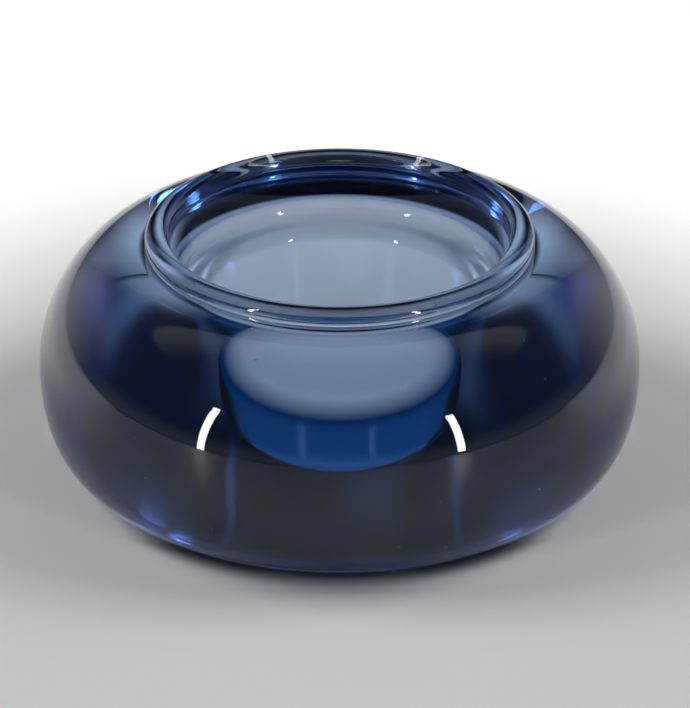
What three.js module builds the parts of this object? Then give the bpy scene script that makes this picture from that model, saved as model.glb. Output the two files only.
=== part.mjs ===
// Heavy candle holder in one piece of dark blue glass. A squat, rounded body stands on a flat ground
// base. Its mouth has a rolled bead above a crease, and leads down a collar and over a sloping ledge
// into a deep cup that narrows to a rounded bottom and takes a small candle.
// Millimetres, +Z up, centre of the base at the origin.
import * as THREE from "three";

// Outer body
const BASE_R = 41.5; // flat ground base
const BELLY_R = 55.0; // widest line
const BELLY_Z = 19.1;
const SHOULDER_R = 36.0; // where the shoulder ends at the crease under the bead
const SHOULDER_Z = 42.3;
const LOWER_POWER = 2.39; // 2 is a plain ellipse, more is fuller
const UPPER_POWER = 1.98;

// Rolled bead round the mouth
const BEAD_R = 33.1; // centre of its section
const BEAD_Z = 44.0;
const BEAD_HALF_WIDTH = 2.2;
const BEAD_HALF_HEIGHT = 1.9;
const CREASE_ANGLE = -40; // degrees, where the bead leaves the crease

// Well: collar, ledge and cup
const LEDGE_R = 28.9; // foot of the collar, where the ledge starts
const LEDGE_Z = 34.4;
const LEDGE_ROUND = 2.75;
const LIP_R = 24.2; // lip of the cup
const LIP_Z = 33.2;
const LIP_ROUND = 3.0;
const CUP_R = 21.4; // where the lower wall starts to narrow
const CUP_Z = 16.8;
const CUP_ROUND = 14.0;
const FLOOR_R = 14.6;
const FLOOR_Z = 6.7;
const FLOOR_ROUND = 7.5;

// Facets
const SEGMENTS = 64;
const BODY_STEPS = 12;
const BEAD_STEPS = 12;
const ROUND_STEP = 15; // degrees of turn per facet on the rounded corners

const radians = THREE.MathUtils.degToRad;

// Quarter of a superellipse about (centreR, centreZ), from angle a to angle b in degrees.
function superellipse(centreR, centreZ, halfR, halfZ, power, a, b, steps) {
  const points = [];
  for (let i = 0; i <= steps; i++) {
    const t = radians(a + ((b - a) * i) / steps);
    const across = Math.pow(Math.max(Math.cos(t), 0), 2 / power);
    const along = Math.pow(Math.abs(Math.sin(t)), 2 / power) * Math.sign(Math.sin(t));
    points.push(new THREE.Vector2(centreR + halfR * across, centreZ + halfZ * along));
  }
  return points;
}

// Arc that rounds the corner at b between the straight runs from a and to c.
function roundCorner(a, b, c, radius) {
  const back = a.clone().sub(b).normalize();
  const on = c.clone().sub(b).normalize();
  const corner = Math.acos(back.dot(on));
  const bisector = back.clone().add(on).normalize();
  const centre = b.clone().addScaledVector(bisector, radius / Math.sin(corner / 2));
  const first = b.clone().addScaledVector(back, radius / Math.tan(corner / 2)).sub(centre);
  const turn = (Math.PI - corner) * Math.sign(on.cross(back));
  const steps = Math.max(2, Math.ceil(THREE.MathUtils.radToDeg(Math.abs(turn)) / ROUND_STEP));
  const points = [];
  for (let i = 0; i <= steps; i++) {
    const spoke = first.clone().rotateAround(new THREE.Vector2(), (turn * i) / steps);
    points.push(centre.clone().add(spoke));
  }
  return points;
}

// Half section of the bead, from the crease over the top to the inside of the mouth.
function beadSection() {
  const points = [];
  for (let i = 0; i <= BEAD_STEPS; i++) {
    const t = radians(CREASE_ANGLE + ((180 - CREASE_ANGLE) * i) / BEAD_STEPS);
    points.push(
      new THREE.Vector2(
        BEAD_R + BEAD_HALF_WIDTH * Math.cos(t),
        BEAD_Z + BEAD_HALF_HEIGHT * Math.sin(t),
      ),
    );
  }
  return points;
}

// Half section of the well, from the mouth down to the middle of the floor.
function wellSection() {
  const mouth = new THREE.Vector2(BEAD_R - BEAD_HALF_WIDTH, BEAD_Z);
  const ledge = new THREE.Vector2(LEDGE_R, LEDGE_Z);
  const lip = new THREE.Vector2(LIP_R, LIP_Z);
  const cup = new THREE.Vector2(CUP_R, CUP_Z);
  const floor = new THREE.Vector2(FLOOR_R, FLOOR_Z);
  const middle = new THREE.Vector2(0, FLOOR_Z);
  return [
    ...roundCorner(mouth, ledge, lip, LEDGE_ROUND),
    ...roundCorner(ledge, lip, cup, LIP_ROUND),
    ...roundCorner(lip, cup, floor, CUP_ROUND),
    ...roundCorner(cup, floor, middle, FLOOR_ROUND),
    middle,
  ];
}

// Closed half section of the glass, from the middle of the base round to the middle of the well's floor.
function glassSection() {
  const lower = superellipse(
    BASE_R, BELLY_Z, BELLY_R - BASE_R, BELLY_Z, LOWER_POWER, -90, 0, BODY_STEPS,
  );
  const upper = superellipse(
    SHOULDER_R, BELLY_Z, BELLY_R - SHOULDER_R, SHOULDER_Z - BELLY_Z, UPPER_POWER, 0, 90, BODY_STEPS,
  );
  return [new THREE.Vector2(0, 0), ...lower, ...upper.slice(1), ...beadSection(), ...wellSection()];
}

const blueGlass = new THREE.MeshStandardMaterial({
  color: 0x1d3468,
  roughness: 0.04,
  metalness: 0.0,
});

const glassBody = new THREE.Mesh(new THREE.LatheGeometry(glassSection(), SEGMENTS), blueGlass);
glassBody.geometry.rotateX(Math.PI / 2);
glassBody.name = "glass_body";

const holder = new THREE.Group();
holder.name = "candle_holder";
holder.add(glassBody);

export default holder;
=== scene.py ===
"""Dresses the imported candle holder: one heavy piece of dark blue glass on a pale studio floor."""

import logging
import math
from dataclasses import dataclass
from enum import Enum

import bpy
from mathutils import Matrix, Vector


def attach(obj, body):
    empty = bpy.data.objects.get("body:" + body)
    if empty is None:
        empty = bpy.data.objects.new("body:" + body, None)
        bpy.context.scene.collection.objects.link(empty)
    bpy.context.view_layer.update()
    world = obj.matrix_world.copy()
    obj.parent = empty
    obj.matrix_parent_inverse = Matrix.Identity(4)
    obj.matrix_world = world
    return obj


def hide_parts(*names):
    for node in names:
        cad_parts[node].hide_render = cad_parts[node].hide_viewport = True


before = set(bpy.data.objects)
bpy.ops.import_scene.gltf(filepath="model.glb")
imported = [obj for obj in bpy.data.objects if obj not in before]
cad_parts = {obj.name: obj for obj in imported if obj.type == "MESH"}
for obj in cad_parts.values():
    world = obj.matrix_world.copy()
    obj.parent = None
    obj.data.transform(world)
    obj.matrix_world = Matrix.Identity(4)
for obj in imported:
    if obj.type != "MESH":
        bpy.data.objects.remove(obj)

MM = 0.001
WHITE = (1.0, 1.0, 1.0, 1.0)
LOG = logging.getLogger("candle_holder")

Point = tuple[float, float]
Span = tuple[float, float]
Place = tuple[float, float, float]
Colour = tuple[float, float, float]


class Ray(Enum):
    """Kinds of light ray that see the stage's own light."""

    CAMERA = "Is Camera Ray"
    GLOSSY = "Is Glossy Ray"
    TRANSMISSION = "Is Transmission Ray"


class Space(Enum):
    """Coordinates that a texture can follow: the object's own, or the directions of the room."""

    OBJECT = "Object"
    ROOM = "Generated"


def superellipse(
    centre: Point, half: Point, power: float, start: float, end: float, steps: int
) -> list[Point]:
    """Points on part of a superellipse.

    Args:
        centre: Its middle, as radius and height.
        half: Its half width and half height.
        power: 2 is a plain ellipse, more is fuller.
        start: First angle in degrees.
        end: Last angle in degrees.
        steps: Number of steps between them.

    Returns:
        The points from start to end.
    """
    points = []
    for i in range(steps + 1):
        angle = math.radians(start + (end - start) * i / steps)
        across = max(math.cos(angle), 0.0) ** (2 / power)
        along = math.copysign(abs(math.sin(angle)) ** (2 / power), math.sin(angle))
        points.append((centre[0] + half[0] * across, centre[1] + half[1] * along))
    return points


def round_corner(before: Point, corner: Point, after: Point, radius: float, step: float) -> list[Point]:
    """Arc that rounds a corner of a section.

    Args:
        before: Point that the section comes from.
        corner: The sharp corner.
        after: Point that the section goes on to.
        radius: Radius of the arc.
        step: Degrees of turn per step.

    Returns:
        The points of the arc, its two ends on the straight runs.
    """
    tip = Vector(corner)
    back = (Vector(before) - tip).normalized()
    onward = (Vector(after) - tip).normalized()
    opening = back.angle(onward)
    centre = tip + (back + onward).normalized() * (radius / math.sin(opening / 2))
    spoke = tip + back * (radius / math.tan(opening / 2)) - centre
    side = math.copysign(1.0, onward.x * back.y - onward.y * back.x)
    turn = (math.pi - opening) * side
    steps = max(2, math.ceil(math.degrees(abs(turn)) / step))
    points = []
    for i in range(steps + 1):
        angle = turn * i / steps
        across = spoke.x * math.cos(angle) - spoke.y * math.sin(angle)
        along = spoke.x * math.sin(angle) + spoke.y * math.cos(angle)
        points.append((centre.x + across, centre.y + along))
    return points


def fill_runs(points: list[Point], longest: float, shortest: float = 1e-9) -> list[Point]:
    """Adds points on long straight runs, so that smooth shading keeps them straight.

    Args:
        points: A section.
        longest: Longest step that is left.
        shortest: A step under this is a point given twice, and is dropped.

    Returns:
        The section with no step longer than that.
    """
    filled = [points[0]]
    for start, end in zip(points, points[1:]):
        length = math.dist(start, end)
        if length < shortest:
            continue
        count = math.ceil(length / longest)
        for i in range(1, count + 1):
            share = i / count
            filled.append(
                (start[0] + (end[0] - start[0]) * share, start[1] + (end[1] - start[1]) * share)
            )
    return filled


def add_node(tree: bpy.types.NodeTree, kind: str, **values: object) -> bpy.types.Node:
    """Adds a node and sets its properties.

    Args:
        tree: Node tree that takes it.
        kind: Node type.
        **values: Property names and values.

    Returns:
        The node.
    """
    node = tree.nodes.new(kind)
    for name, value in values.items():
        setattr(node, name, value)
    return node


def join(tree: bpy.types.NodeTree, operation: str, first: object, second: object) -> bpy.types.NodeSocket:
    """Adds a Math node on two sockets or numbers.

    Args:
        tree: Node tree that takes it.
        operation: Math operation.
        first: Socket or number.
        second: Socket or number.

    Returns:
        The result's socket.
    """
    node = add_node(tree, "ShaderNodeMath", operation=operation)
    for place, source in zip(node.inputs, (first, second)):
        if isinstance(source, (int, float)):
            place.default_value = source
        else:
            tree.links.new(source, place)
    return node.outputs[0]


def multiply(tree: bpy.types.NodeTree, *factors: object) -> bpy.types.NodeSocket:
    """Adds Math nodes that multiply sockets or numbers.

    Args:
        tree: Node tree that takes them.
        *factors: Two or more sockets or numbers.

    Returns:
        The product's socket.
    """
    product = factors[0]
    for factor in factors[1:]:
        product = join(tree, "MULTIPLY", product, factor)
    return product


def ease(
    tree: bpy.types.NodeTree, source: bpy.types.NodeSocket, span: Span, levels: Span = (0.0, 1.0)
) -> bpy.types.NodeSocket:
    """Adds a smooth step.

    Args:
        tree: Node tree that takes it.
        source: Value that drives it.
        span: Values at which it starts and ends.
        levels: What it gives there.

    Returns:
        The result's socket.
    """
    step = add_node(tree, "ShaderNodeMapRange", interpolation_type="SMOOTHSTEP")
    for name, value in zip(("From Min", "From Max", "To Min", "To Max"), (*span, *levels)):
        step.inputs[name].default_value = value
    tree.links.new(source, step.inputs["Value"])
    return step.outputs["Result"]


def coordinates(tree: bpy.types.NodeTree, space: Space) -> bpy.types.NodeOutputs:
    """Adds nodes that give a place or a direction.

    Args:
        tree: Node tree that takes them.
        space: Coordinates to follow.

    Returns:
        The sockets X, Y and Z.
    """
    place = add_node(tree, "ShaderNodeTexCoord")
    parts = add_node(tree, "ShaderNodeSeparateXYZ")
    tree.links.new(place.outputs[space.value], parts.inputs[0])
    return parts.outputs


def distance(tree: bpy.types.NodeTree, axes: Place) -> bpy.types.NodeSocket:
    """Adds nodes that measure the distance from the object's middle.

    Args:
        tree: Node tree that takes them.
        axes: Weight of each axis in the distance.

    Returns:
        The distance in metres.
    """
    place = add_node(tree, "ShaderNodeTexCoord")
    scaled = add_node(tree, "ShaderNodeVectorMath", operation="MULTIPLY")
    scaled.inputs[1].default_value = axes
    tree.links.new(place.outputs["Object"], scaled.inputs[0])
    length = add_node(tree, "ShaderNodeVectorMath", operation="LENGTH")
    tree.links.new(scaled.outputs[0], length.inputs[0])
    return length.outputs["Value"]


def new_material(name: str) -> tuple[bpy.types.Material, bpy.types.NodeTree, bpy.types.Node]:
    """Makes a material with its Principled shader.

    Args:
        name: Name of the material.

    Returns:
        The material, its node tree and its shader.
    """
    material = bpy.data.materials.new(name)
    material.use_nodes = True
    return material, material.node_tree, material.node_tree.nodes["Principled BSDF"]


def new_group(name: str, inputs: dict[str, float], outputs: list[str]) -> bpy.types.NodeTree:
    """Makes a shader node group with number sockets.

    Args:
        name: Name of the group.
        inputs: Input names with their usual values.
        outputs: Output names.

    Returns:
        The group, with its input and output nodes added.
    """
    group = bpy.data.node_groups.new(name, "ShaderNodeTree")
    for label, value in inputs.items():
        socket = group.interface.new_socket(label, in_out="INPUT", socket_type="NodeSocketFloat")
        socket.default_value = value
    for label in outputs:
        group.interface.new_socket(label, in_out="OUTPUT", socket_type="NodeSocketFloat")
    add_node(group, "NodeGroupInput", name="in")
    add_node(group, "NodeGroupOutput", name="out")
    return group


def ripple_group() -> bpy.types.NodeTree:
    """Makes the node group for the slow, uneven flow of a surface.

    Returns:
        The group, which gives a height in metres.
    """
    group = new_group("surface_flow", {"Ripples per metre": 60.0, "Depth": 0.00001}, ["Height"])
    source, sink = group.nodes["in"], group.nodes["out"]
    place = add_node(group, "ShaderNodeTexCoord")
    noise = add_node(group, "ShaderNodeTexNoise")
    noise.inputs["Detail"].default_value = 0.0
    group.links.new(place.outputs["Object"], noise.inputs["Vector"])
    group.links.new(source.outputs["Ripples per metre"], noise.inputs["Scale"])
    height = join(group, "MULTIPLY", noise.outputs["Fac"], source.outputs["Depth"])
    group.links.new(height, sink.inputs["Height"])
    return group


def handling_group() -> bpy.types.NodeTree:
    """Makes the node group for the marks of handling, which are sparse specks.

    Returns:
        The group, which gives 0 on clean surface and 1 on a speck.
    """
    group = new_group("handling_marks", {"Marks per metre": 140.0, "Speck size": 0.03}, ["Mask"])
    source, sink = group.nodes["in"], group.nodes["out"]
    place = add_node(group, "ShaderNodeTexCoord")
    cells = add_node(group, "ShaderNodeTexVoronoi", feature="F1")
    group.links.new(place.outputs["Object"], cells.inputs["Vector"])
    group.links.new(source.outputs["Marks per metre"], cells.inputs["Scale"])
    near = join(group, "LESS_THAN", cells.outputs["Distance"], source.outputs["Speck size"])
    group.links.new(near, sink.inputs["Mask"])
    return group


def add_flow(shader: bpy.types.Node, flow: bpy.types.NodeTree, per_metre: float, depth: float) -> None:
    """Gives a shader the bump of a slowly flowing surface.

    Args:
        shader: Principled shader that takes it.
        flow: Node group of the surface's slow flow.
        per_metre: Ripples per metre.
        depth: Their depth in metres.
    """
    tree = shader.id_data
    ripples = add_node(tree, "ShaderNodeGroup", node_tree=flow)
    ripples.inputs["Ripples per metre"].default_value = per_metre
    ripples.inputs["Depth"].default_value = depth
    bump = add_node(tree, "ShaderNodeBump")
    bump.inputs["Distance"].default_value = 1.0
    tree.links.new(ripples.outputs["Height"], bump.inputs["Height"])
    tree.links.new(bump.outputs["Normal"], shader.inputs["Normal"])


@dataclass(frozen=True)
class BlueGlass:
    """Solid glass, blue all through, polished by fire on all sides but the ground base. Metres."""

    refraction: float = 1.52
    absorbed_per_metre: Colour = (22.2, 15.9, 7.6)
    density_margin: float = 1.05
    speck_roughness: float = 0.35
    base_roughness: float = 0.19
    base_height: float = 0.00005
    ripples_per_metre: float = 70.0
    ripple_depth: float = 0.0000015

    def dullness(self, tree: bpy.types.NodeTree, marks: bpy.types.NodeTree) -> bpy.types.NodeSocket:
        """Adds the roughness of the specks and of the ground base.

        Args:
            tree: Node tree that takes it.
            marks: Node group of handling marks.

        Returns:
            The roughness, 0 on polished surface.
        """
        specks = add_node(tree, "ShaderNodeGroup", node_tree=marks)
        dull = multiply(tree, specks.outputs["Mask"], self.speck_roughness)
        base = join(tree, "LESS_THAN", distance(tree, (0.0, 0.0, 1.0)), self.base_height)
        return join(tree, "MAXIMUM", dull, multiply(tree, base, self.base_roughness))

    def depth_colour(self, tree: bpy.types.NodeTree) -> bpy.types.NodeSocket:
        """Adds the colour that light takes on its way through the glass.

        Args:
            tree: Node tree that takes it.

        Returns:
            The volume's socket.
        """
        density = max(self.absorbed_per_metre) * self.density_margin
        tint = [1.0 - taken / density for taken in self.absorbed_per_metre]
        volume = add_node(tree, "ShaderNodeVolumeAbsorption")
        volume.inputs["Color"].default_value = (*tint, 1.0)
        volume.inputs["Density"].default_value = density
        return volume.outputs["Volume"]

    def material(self, flow: bpy.types.NodeTree, marks: bpy.types.NodeTree) -> bpy.types.Material:
        """Makes the glass material.

        Args:
            flow: Node group of the surface's slow flow.
            marks: Node group of handling marks.

        Returns:
            The material, with its colour in the volume.
        """
        material, tree, shader = new_material("blue_glass")
        shader.inputs["Base Color"].default_value = WHITE
        shader.inputs["IOR"].default_value = self.refraction
        shader.inputs["Transmission Weight"].default_value = 1.0
        add_flow(shader, flow, self.ripples_per_metre, self.ripple_depth)
        tree.links.new(self.dullness(tree, marks), shader.inputs["Roughness"])
        tree.links.new(self.depth_colour(tree), tree.nodes["Material Output"].inputs["Volume"])
        return material


@dataclass(frozen=True)
class PaleFloor:
    """Satin pale studio floor, with a painted shadow in its colour close to the base in front of it and
    behind it. Metres.

    The floor glows with painted light of its own: a painted glow that makes it white behind the object and
    far out, with none in front or close to the base, and a painted glow close to the base at each side
    behind it, where the glass would throw light.
    """

    colour: Colour = (0.82, 0.82, 0.82)
    roughness: float = 0.4
    gloss: float = 0.15
    # Painted glow of the floor's own light: none close to the base or in front, up to 0.5 far out behind.
    painted_glow: Span = (0.0, 0.5)
    painted_glow_span: Span = (0.065, 0.14)
    painted_glow_front: Span = (-0.07, 0.05)
    # Painted glow close to the base at each side, behind the axis.
    painted_side_glow: float = 0.65
    painted_side_span: Span = (0.051, 0.057)
    painted_side_depth: Span = (0.0, 0.02)
    # Painted shadow: the floor's colour darkened close to the base in front of it and behind it.
    shadow: float = 0.06
    painted_shadow_span: Span = (0.0455, 0.051)
    painted_shadow_side: Span = (0.026, 0.040)
    tooth_per_metre: float = 400.0
    tooth_depth: float = 0.000004

    def paint_with_shadow(self, tree: bpy.types.NodeTree, lit: bpy.types.NodeSocket) -> bpy.types.NodeSocket:
        """Adds the floor's colour, with its painted shadow.

        Args:
            tree: Node tree that takes it.
            lit: 0 in the painted contact shadow and 1 outside it.

        Returns:
            The colour.
        """
        pale = add_node(tree, "ShaderNodeMix", data_type="RGBA")
        pale.inputs["A"].default_value = (*(value * self.shadow for value in self.colour), 1.0)
        pale.inputs["B"].default_value = (*self.colour, 1.0)
        tree.links.new(lit, pale.inputs["Factor"])
        return pale.outputs["Result"]

    def seen(self, tree: bpy.types.NodeTree) -> bpy.types.NodeSocket:
        """Adds a mask of the rays that see the floor's own light.

        Args:
            tree: Node tree that takes it.

        Returns:
            1 for those rays and 0 for all others.
        """
        rays = add_node(tree, "ShaderNodeLightPath")
        mask = 0.0
        for kind in Ray:
            mask = join(tree, "MAXIMUM", mask, rays.outputs[kind.value])
        return mask

    def material(self, flow: bpy.types.NodeTree) -> bpy.types.Material:
        """Makes the floor material.

        Args:
            flow: Node group of the surface's slow flow.

        Returns:
            The material.
        """
        material, tree, shader = new_material("pale_floor")
        shader.inputs["Roughness"].default_value = self.roughness
        shader.inputs["Specular IOR Level"].default_value = self.gloss
        shader.inputs["Emission Color"].default_value = WHITE
        add_flow(shader, flow, self.tooth_per_metre, self.tooth_depth)
        reach = distance(tree, (1.0, 1.0, 0.0))
        depth = coordinates(tree, Space.OBJECT)["Y"]
        # Painted contact shadow in the floor's colour, close to the base in front and behind.
        outside = ease(tree, reach, self.painted_shadow_span)
        beside = ease(tree, distance(tree, (1.0, 0.0, 0.0)), self.painted_shadow_side)
        lit = join(tree, "MAXIMUM", outside, beside)
        tree.links.new(self.paint_with_shadow(tree, lit), shader.inputs["Base Color"])
        # Painted glow: white far out behind, and close to the base at each side behind it.
        painted_glow = ease(tree, reach, self.painted_glow_span, self.painted_glow)
        painted_glow = multiply(tree, painted_glow, outside, ease(tree, depth, self.painted_glow_front))
        painted_side_level = ease(tree, reach, self.painted_side_span, (self.painted_side_glow, 0.0))
        painted_side_level = multiply(tree, painted_side_level, ease(tree, depth, self.painted_side_depth), beside)
        strength = multiply(tree, self.seen(tree), join(tree, "ADD", painted_glow, painted_side_level))
        tree.links.new(strength, shader.inputs["Emission Strength"])
        return material


@dataclass(frozen=True)
class PaintedLightPool:
    """Painted pool of light: a glowing disc under the base that stands in for the light the glass gathers on
    the floor there, a pale ring, blue in the middle, black at its edge. Metres.
    """

    radius: float = 0.040
    sides: int = 96
    gap: float = 0.00015
    outer_fade: float = 0.0015
    middle_edge: float = 0.0135
    hollow_edge: float = 0.0225
    ring_edge: float = 0.0325
    # Colours of the painted glow from the axis out: blue core, middle and hollow, a pale ring, black at the
    # rim.
    core: Colour = (0.004, 0.03, 0.16)
    middle: Colour = (0.02, 0.11, 0.28)
    hollow: Colour = (0.0, 0.035, 0.12)
    ring: Colour = (0.56, 0.56, 0.57)
    rim: Colour = (0.0, 0.0, 0.0)
    # Near-black colour of the disc itself, a painted dark sheet under the base.
    ground: Colour = (0.02, 0.02, 0.02)

    def material(self) -> bpy.types.Material:
        """Makes the pool's material, a painted glow whose colour goes by the distance from the axis, on a
        near-black disc.

        Returns:
            The material.
        """
        material, tree, shader = new_material("painted_light_pool")
        shader.inputs["Base Color"].default_value = (*self.ground, 1.0)
        shader.inputs["Roughness"].default_value = 1.0
        shader.inputs["Specular IOR Level"].default_value = 0.0
        shader.inputs["Emission Strength"].default_value = 1.0
        share = join(tree, "DIVIDE", distance(tree, (1.0, 1.0, 0.0)), self.radius)
        ramp = add_node(tree, "ShaderNodeValToRGB")
        stops = ramp.color_ramp.elements
        stops[0].color = (*self.core, 1.0)
        stops[1].color = (*self.rim, 1.0)
        for place, colour in (
            (self.middle_edge, self.middle),
            (self.hollow_edge, self.hollow),
            (self.ring_edge, self.ring),
            (self.radius - self.outer_fade, self.ring),
        ):
            stops.new(place / self.radius).color = (*colour, 1.0)
        tree.links.new(share, ramp.inputs["Fac"])
        tree.links.new(ramp.outputs["Color"], shader.inputs["Emission Color"])
        return material

    def build(self) -> bpy.types.Object:
        """Lays the painted pool of light on the floor, under the base.

        Returns:
            The pool.
        """
        bpy.ops.object.select_all(action="DESELECT")
        bpy.ops.mesh.primitive_circle_add(
            vertices=self.sides, radius=self.radius, fill_type="NGON", location=(0, 0, -self.gap)
        )
        pool = bpy.context.object
        pool.name = "painted_light_pool"
        bpy.ops.object.transform_apply(location=True)
        pool.data.materials.append(self.material())
        return pool


@dataclass
class GlassBody:
    """The holder itself, one turned piece of glass. Sizes are in millimetres, angles in degrees."""

    base_radius: float = 41.5
    belly_radius: float = 55.0
    belly_height: float = 19.1
    shoulder_radius: float = 36.0
    shoulder_height: float = 42.3
    lower_power: float = 2.39
    upper_power: float = 1.98
    bead_radius: float = 33.1
    bead_height: float = 44.0
    bead_half_width: float = 2.2
    bead_half_height: float = 1.9
    crease_angle: float = -40.0
    ledge: Point = (28.9, 34.4)
    ledge_round: float = 2.75
    lip: Point = (24.2, 33.2)
    lip_round: float = 3.0
    cup: Point = (21.4, 16.8)
    cup_round: float = 14.0
    floor: Point = (14.6, 6.7)
    floor_round: float = 7.5
    body_steps: int = 56
    bead_steps: int = 44
    round_step: float = 2.5
    longest_run: float = 1.2
    segments: int = 240
    base_margin: float = 1.0
    weld: float = 0.0005

    def bead_section(self) -> list[Point]:
        """Makes the half section of the bead.

        Returns:
            Its points, from the crease over the top to the inside of the mouth.
        """
        points = []
        for i in range(self.bead_steps + 1):
            angle = math.radians(self.crease_angle + (180 - self.crease_angle) * i / self.bead_steps)
            across = self.bead_radius + self.bead_half_width * math.cos(angle)
            points.append((across, self.bead_height + self.bead_half_height * math.sin(angle)))
        return points

    def well_section(self) -> list[Point]:
        """Makes the half section of the well.

        Returns:
            Its points, from the mouth to the middle of the floor.
        """
        mouth = (self.bead_radius - self.bead_half_width, self.bead_height)
        middle = (0.0, self.floor[1])
        corners = [mouth, self.ledge, self.lip, self.cup, self.floor, middle]
        rounds = [self.ledge_round, self.lip_round, self.cup_round, self.floor_round]
        points = []
        for i, radius in enumerate(rounds):
            points += round_corner(*corners[i : i + 3], radius, self.round_step)
        return points + [middle]

    def section(self) -> list[Point]:
        """Makes the closed half section of the glass.

        Returns:
            Its points, from the middle of the base round to the middle of the well's floor.
        """
        lower = superellipse(
            (self.base_radius, self.belly_height),
            (self.belly_radius - self.base_radius, self.belly_height),
            self.lower_power,
            -90,
            0,
            self.body_steps,
        )
        upper = superellipse(
            (self.shoulder_radius, self.belly_height),
            (self.belly_radius - self.shoulder_radius, self.shoulder_height - self.belly_height),
            self.upper_power,
            0,
            90,
            self.body_steps,
        )
        outline = lower + upper[1:] + self.bead_section() + self.well_section()
        base = [(0.0, 0.0), (self.base_radius - self.base_margin, 0.0)]
        return base + fill_runs(outline, self.longest_run)

    def build(self) -> bpy.types.Object:
        """Draws the half section vertex by vertex and spins it round the axis.

        Returns:
            The glass body.
        """
        bpy.ops.object.select_all(action="DESELECT")
        bpy.ops.mesh.primitive_plane_add(size=MM)
        body = bpy.context.object
        body.name = "glass_holder"
        body.data.name = "glass_holder"
        bpy.ops.object.mode_set(mode="EDIT")
        bpy.ops.mesh.select_all(action="SELECT")
        bpy.ops.mesh.merge(type="CENTER")
        points = self.section()
        for start, end in zip(points, points[1:]):
            step = ((end[0] - start[0]) * MM, 0.0, (end[1] - start[1]) * MM)
            bpy.ops.mesh.extrude_vertices_move(TRANSFORM_OT_translate={"value": step})
        bpy.ops.mesh.select_all(action="SELECT")
        bpy.ops.mesh.spin(steps=self.segments, angle=math.tau, center=(0, 0, 0), axis=(0, 0, 1))
        bpy.ops.mesh.select_all(action="SELECT")
        bpy.ops.mesh.remove_doubles(threshold=self.weld * MM)
        bpy.ops.mesh.normals_make_consistent(inside=False)
        bpy.ops.object.mode_set(mode="OBJECT")
        bpy.ops.object.shade_smooth()
        return body

    def dress(self, body: bpy.types.Object, material: bpy.types.Material) -> None:
        """Gives the body its finish and its place in the frame.

        Args:
            body: The glass body.
            material: Its glass.
        """
        body.data.materials.clear()
        body.data.materials.append(material)
        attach(body, "root")
        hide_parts("glass_body")


@dataclass(frozen=True)
class Lamp:
    """A rectangular studio lamp that points at the object. Metres and watts."""

    name: str
    place: Place
    width: float
    height: float
    power: float
    seen: bool = True

    def build(self, target: Vector) -> None:
        """Adds the lamp.

        Args:
            target: Point that it faces.
        """
        light = bpy.data.lights.new(self.name, "AREA")
        light.shape = "RECTANGLE"
        light.size = self.width
        light.size_y = self.height
        light.energy = self.power
        lamp = bpy.data.objects.new(self.name, light)
        lamp.location = self.place
        lamp.rotation_euler = (target - Vector(self.place)).to_track_quat("-Z", "Y").to_euler()
        lamp.visible_glossy = self.seen
        lamp.visible_transmission = self.seen
        bpy.context.scene.collection.objects.link(lamp)


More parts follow.
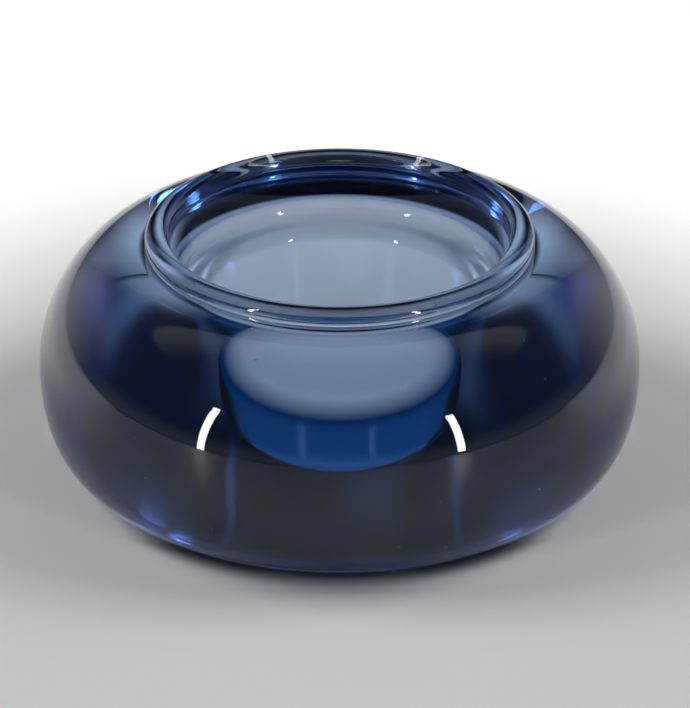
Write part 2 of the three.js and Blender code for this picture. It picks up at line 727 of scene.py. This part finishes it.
@dataclass
class Studio:
    """Floor, lamps, room and camera. Metres, degrees and pixels of the picture.

    The room's spans are parts of a direction: 1 is straight up, straight to a side or straight behind.
    """

    floor_size: float = 8.0
    floor_gap: float = 0.0003
    lamps: tuple[Lamp, ...] = (
        Lamp("strip_right", (0.89, -0.93, 0.36), 0.07, 0.66, 3.4),
        Lamp("strip_left", (-0.99, -0.825, 0.36), 0.07, 0.76, 3.9),
        Lamp("window", (-0.09, 1.25, 0.8), 0.18, 0.30, 0.014),
        Lamp("spot_right", (0.28, 0.98, 0.89), 0.05, 0.09, 0.006),
        Lamp("spot_left", (-0.32, 0.98, 0.89), 0.05, 0.09, 0.006),
        Lamp("side_right", (0.9, 0.1, 0.75), 0.6, 0.6, 5.8, seen=False),
        Lamp("side_left", (-0.9, 0.1, 0.75), 0.6, 0.6, 5.8, seen=False),
    )
    back_level: float = 0.02
    ceiling_level: float = 0.45
    ceiling_span: Span = (0.845, 0.875)
    ceiling_side: float = 0.25
    ceiling_edge: Span = (0.69, 0.72)
    wall_level: float = 0.7
    wall_side: Span = (0.3, 0.6)
    wall_top: Span = (0.32, 0.58)
    wall_back: Span = (0.15, 0.75)
    front_levels: Span = (0.3, 0.03)
    front_span: Span = (0.0, 0.2)
    front_edge: Span = (0.0, 0.45)
    inner_reflections: int = 12
    camera_distance: float = 0.715
    camera_elevation: float = 27.2
    target_height: float = 0.022
    focal_pixels: float = 3900.0
    axis_pixel: Point = (339.65, 342.9)
    picture: tuple[int, int] = (690, 708)
    sensor: float = 36.0

    def target(self) -> Vector:
        """Point on the axis that the lamps and the camera face."""
        return Vector((0, 0, self.target_height))

    def build_floor(self, material: bpy.types.Material) -> bpy.types.Object:
        """Lays the floor.

        Args:
            material: Its finish.

        Returns:
            The floor.
        """
        bpy.ops.object.select_all(action="DESELECT")
        bpy.ops.mesh.primitive_plane_add(size=self.floor_size, location=(0, 0, -self.floor_gap))
        floor = bpy.context.object
        floor.name = "studio_floor"
        bpy.ops.object.transform_apply(location=True)
        floor.data.materials.append(material)
        return floor

    def room_behind(self, tree: bpy.types.NodeTree, way: bpy.types.NodeOutputs) -> bpy.types.NodeSocket:
        """Adds the room behind the object: a pale ceiling, pale low walls at the sides, dim elsewhere.

        Args:
            tree: Node tree that takes it.
            way: The direction's sockets X, Y and Z.

        Returns:
            The room's level.
        """
        aside = distance(tree, (1.0, 0.0, 0.0))
        rise = join(tree, "ADD", way["Z"], multiply(tree, aside, self.ceiling_side))
        ceiling = ease(tree, rise, self.ceiling_span, (0.0, self.ceiling_level))
        ceiling = multiply(tree, ceiling, ease(tree, way["Z"], self.ceiling_edge))
        wall = ease(tree, aside, self.wall_side, (0.0, self.wall_level))
        wall = multiply(
            tree, wall, ease(tree, way["Z"], self.wall_top, (1.0, 0.0)), ease(tree, way["Y"], self.wall_back)
        )
        return join(tree, "ADD", join(tree, "ADD", ceiling, self.back_level), wall)

    def build_room(self) -> None:
        """Surrounds the stage with a plain room, pale low in front and dim higher up there."""
        world = bpy.data.worlds.new("studio_room")
        bpy.context.scene.world = world
        world.use_nodes = True
        tree = world.node_tree
        way = coordinates(tree, Space.ROOM)
        level = add_node(tree, "ShaderNodeMix")
        tree.links.new(ease(tree, way["Y"], self.front_edge), level.inputs["Factor"])
        tree.links.new(ease(tree, way["Z"], self.front_span, self.front_levels), level.inputs["A"])
        tree.links.new(self.room_behind(tree, way), level.inputs["B"])
        tree.links.new(level.outputs["Result"], tree.nodes["Background"].inputs["Color"])

    def build_camera(self) -> None:
        """Sets the camera at the photograph's angle and framing."""
        camera = bpy.data.cameras.new("camera")
        longest = max(self.picture)
        camera.sensor_fit = "AUTO"
        camera.sensor_width = self.sensor
        camera.lens = self.focal_pixels * self.sensor / longest
        camera.shift_x = (self.picture[0] / 2 - self.axis_pixel[0]) / longest
        camera.shift_y = (self.axis_pixel[1] - self.picture[1] / 2) / longest
        holder = bpy.data.objects.new("camera", camera)
        tilt = math.radians(self.camera_elevation)
        back = self.camera_distance * Vector((0, -math.cos(tilt), math.sin(tilt)))
        holder.location = self.target() + back
        holder.rotation_euler = (-back).to_track_quat("-Z", "Y").to_euler()
        bpy.context.scene.collection.objects.link(holder)
        bpy.context.scene.camera = holder

    def build(self, floor_finish: bpy.types.Material) -> bpy.types.Object:
        """Builds the whole stage.

        Args:
            floor_finish: The floor's material.

        Returns:
            The floor.
        """
        floor = self.build_floor(floor_finish)
        for lamp in self.lamps:
            lamp.build(self.target())
        self.build_room()
        self.build_camera()
        scene = bpy.context.scene
        # Light is reflected many times inside solid glass before it comes out.
        scene.cycles.glossy_bounces = self.inner_reflections
        scene.view_settings.view_transform = "Standard"
        return floor


def main() -> None:
    """Builds the holder and its stage, and notes the size of each model."""
    logging.basicConfig(level=logging.INFO, format="%(name)s: %(message)s")
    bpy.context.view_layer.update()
    flow = ripple_group()
    marks = handling_group()
    holder = GlassBody()
    body = holder.build()
    holder.dress(body, BlueGlass().material(flow, marks))
    # Painted pool of light under the base.
    pool = PaintedLightPool().build()
    floor = Studio().build(PaleFloor().material(flow))
    for piece in (body, pool, floor):
        LOG.info("%s: %d faces", piece.name, len(piece.data.polygons))


if __name__ == "__main__":
    main()
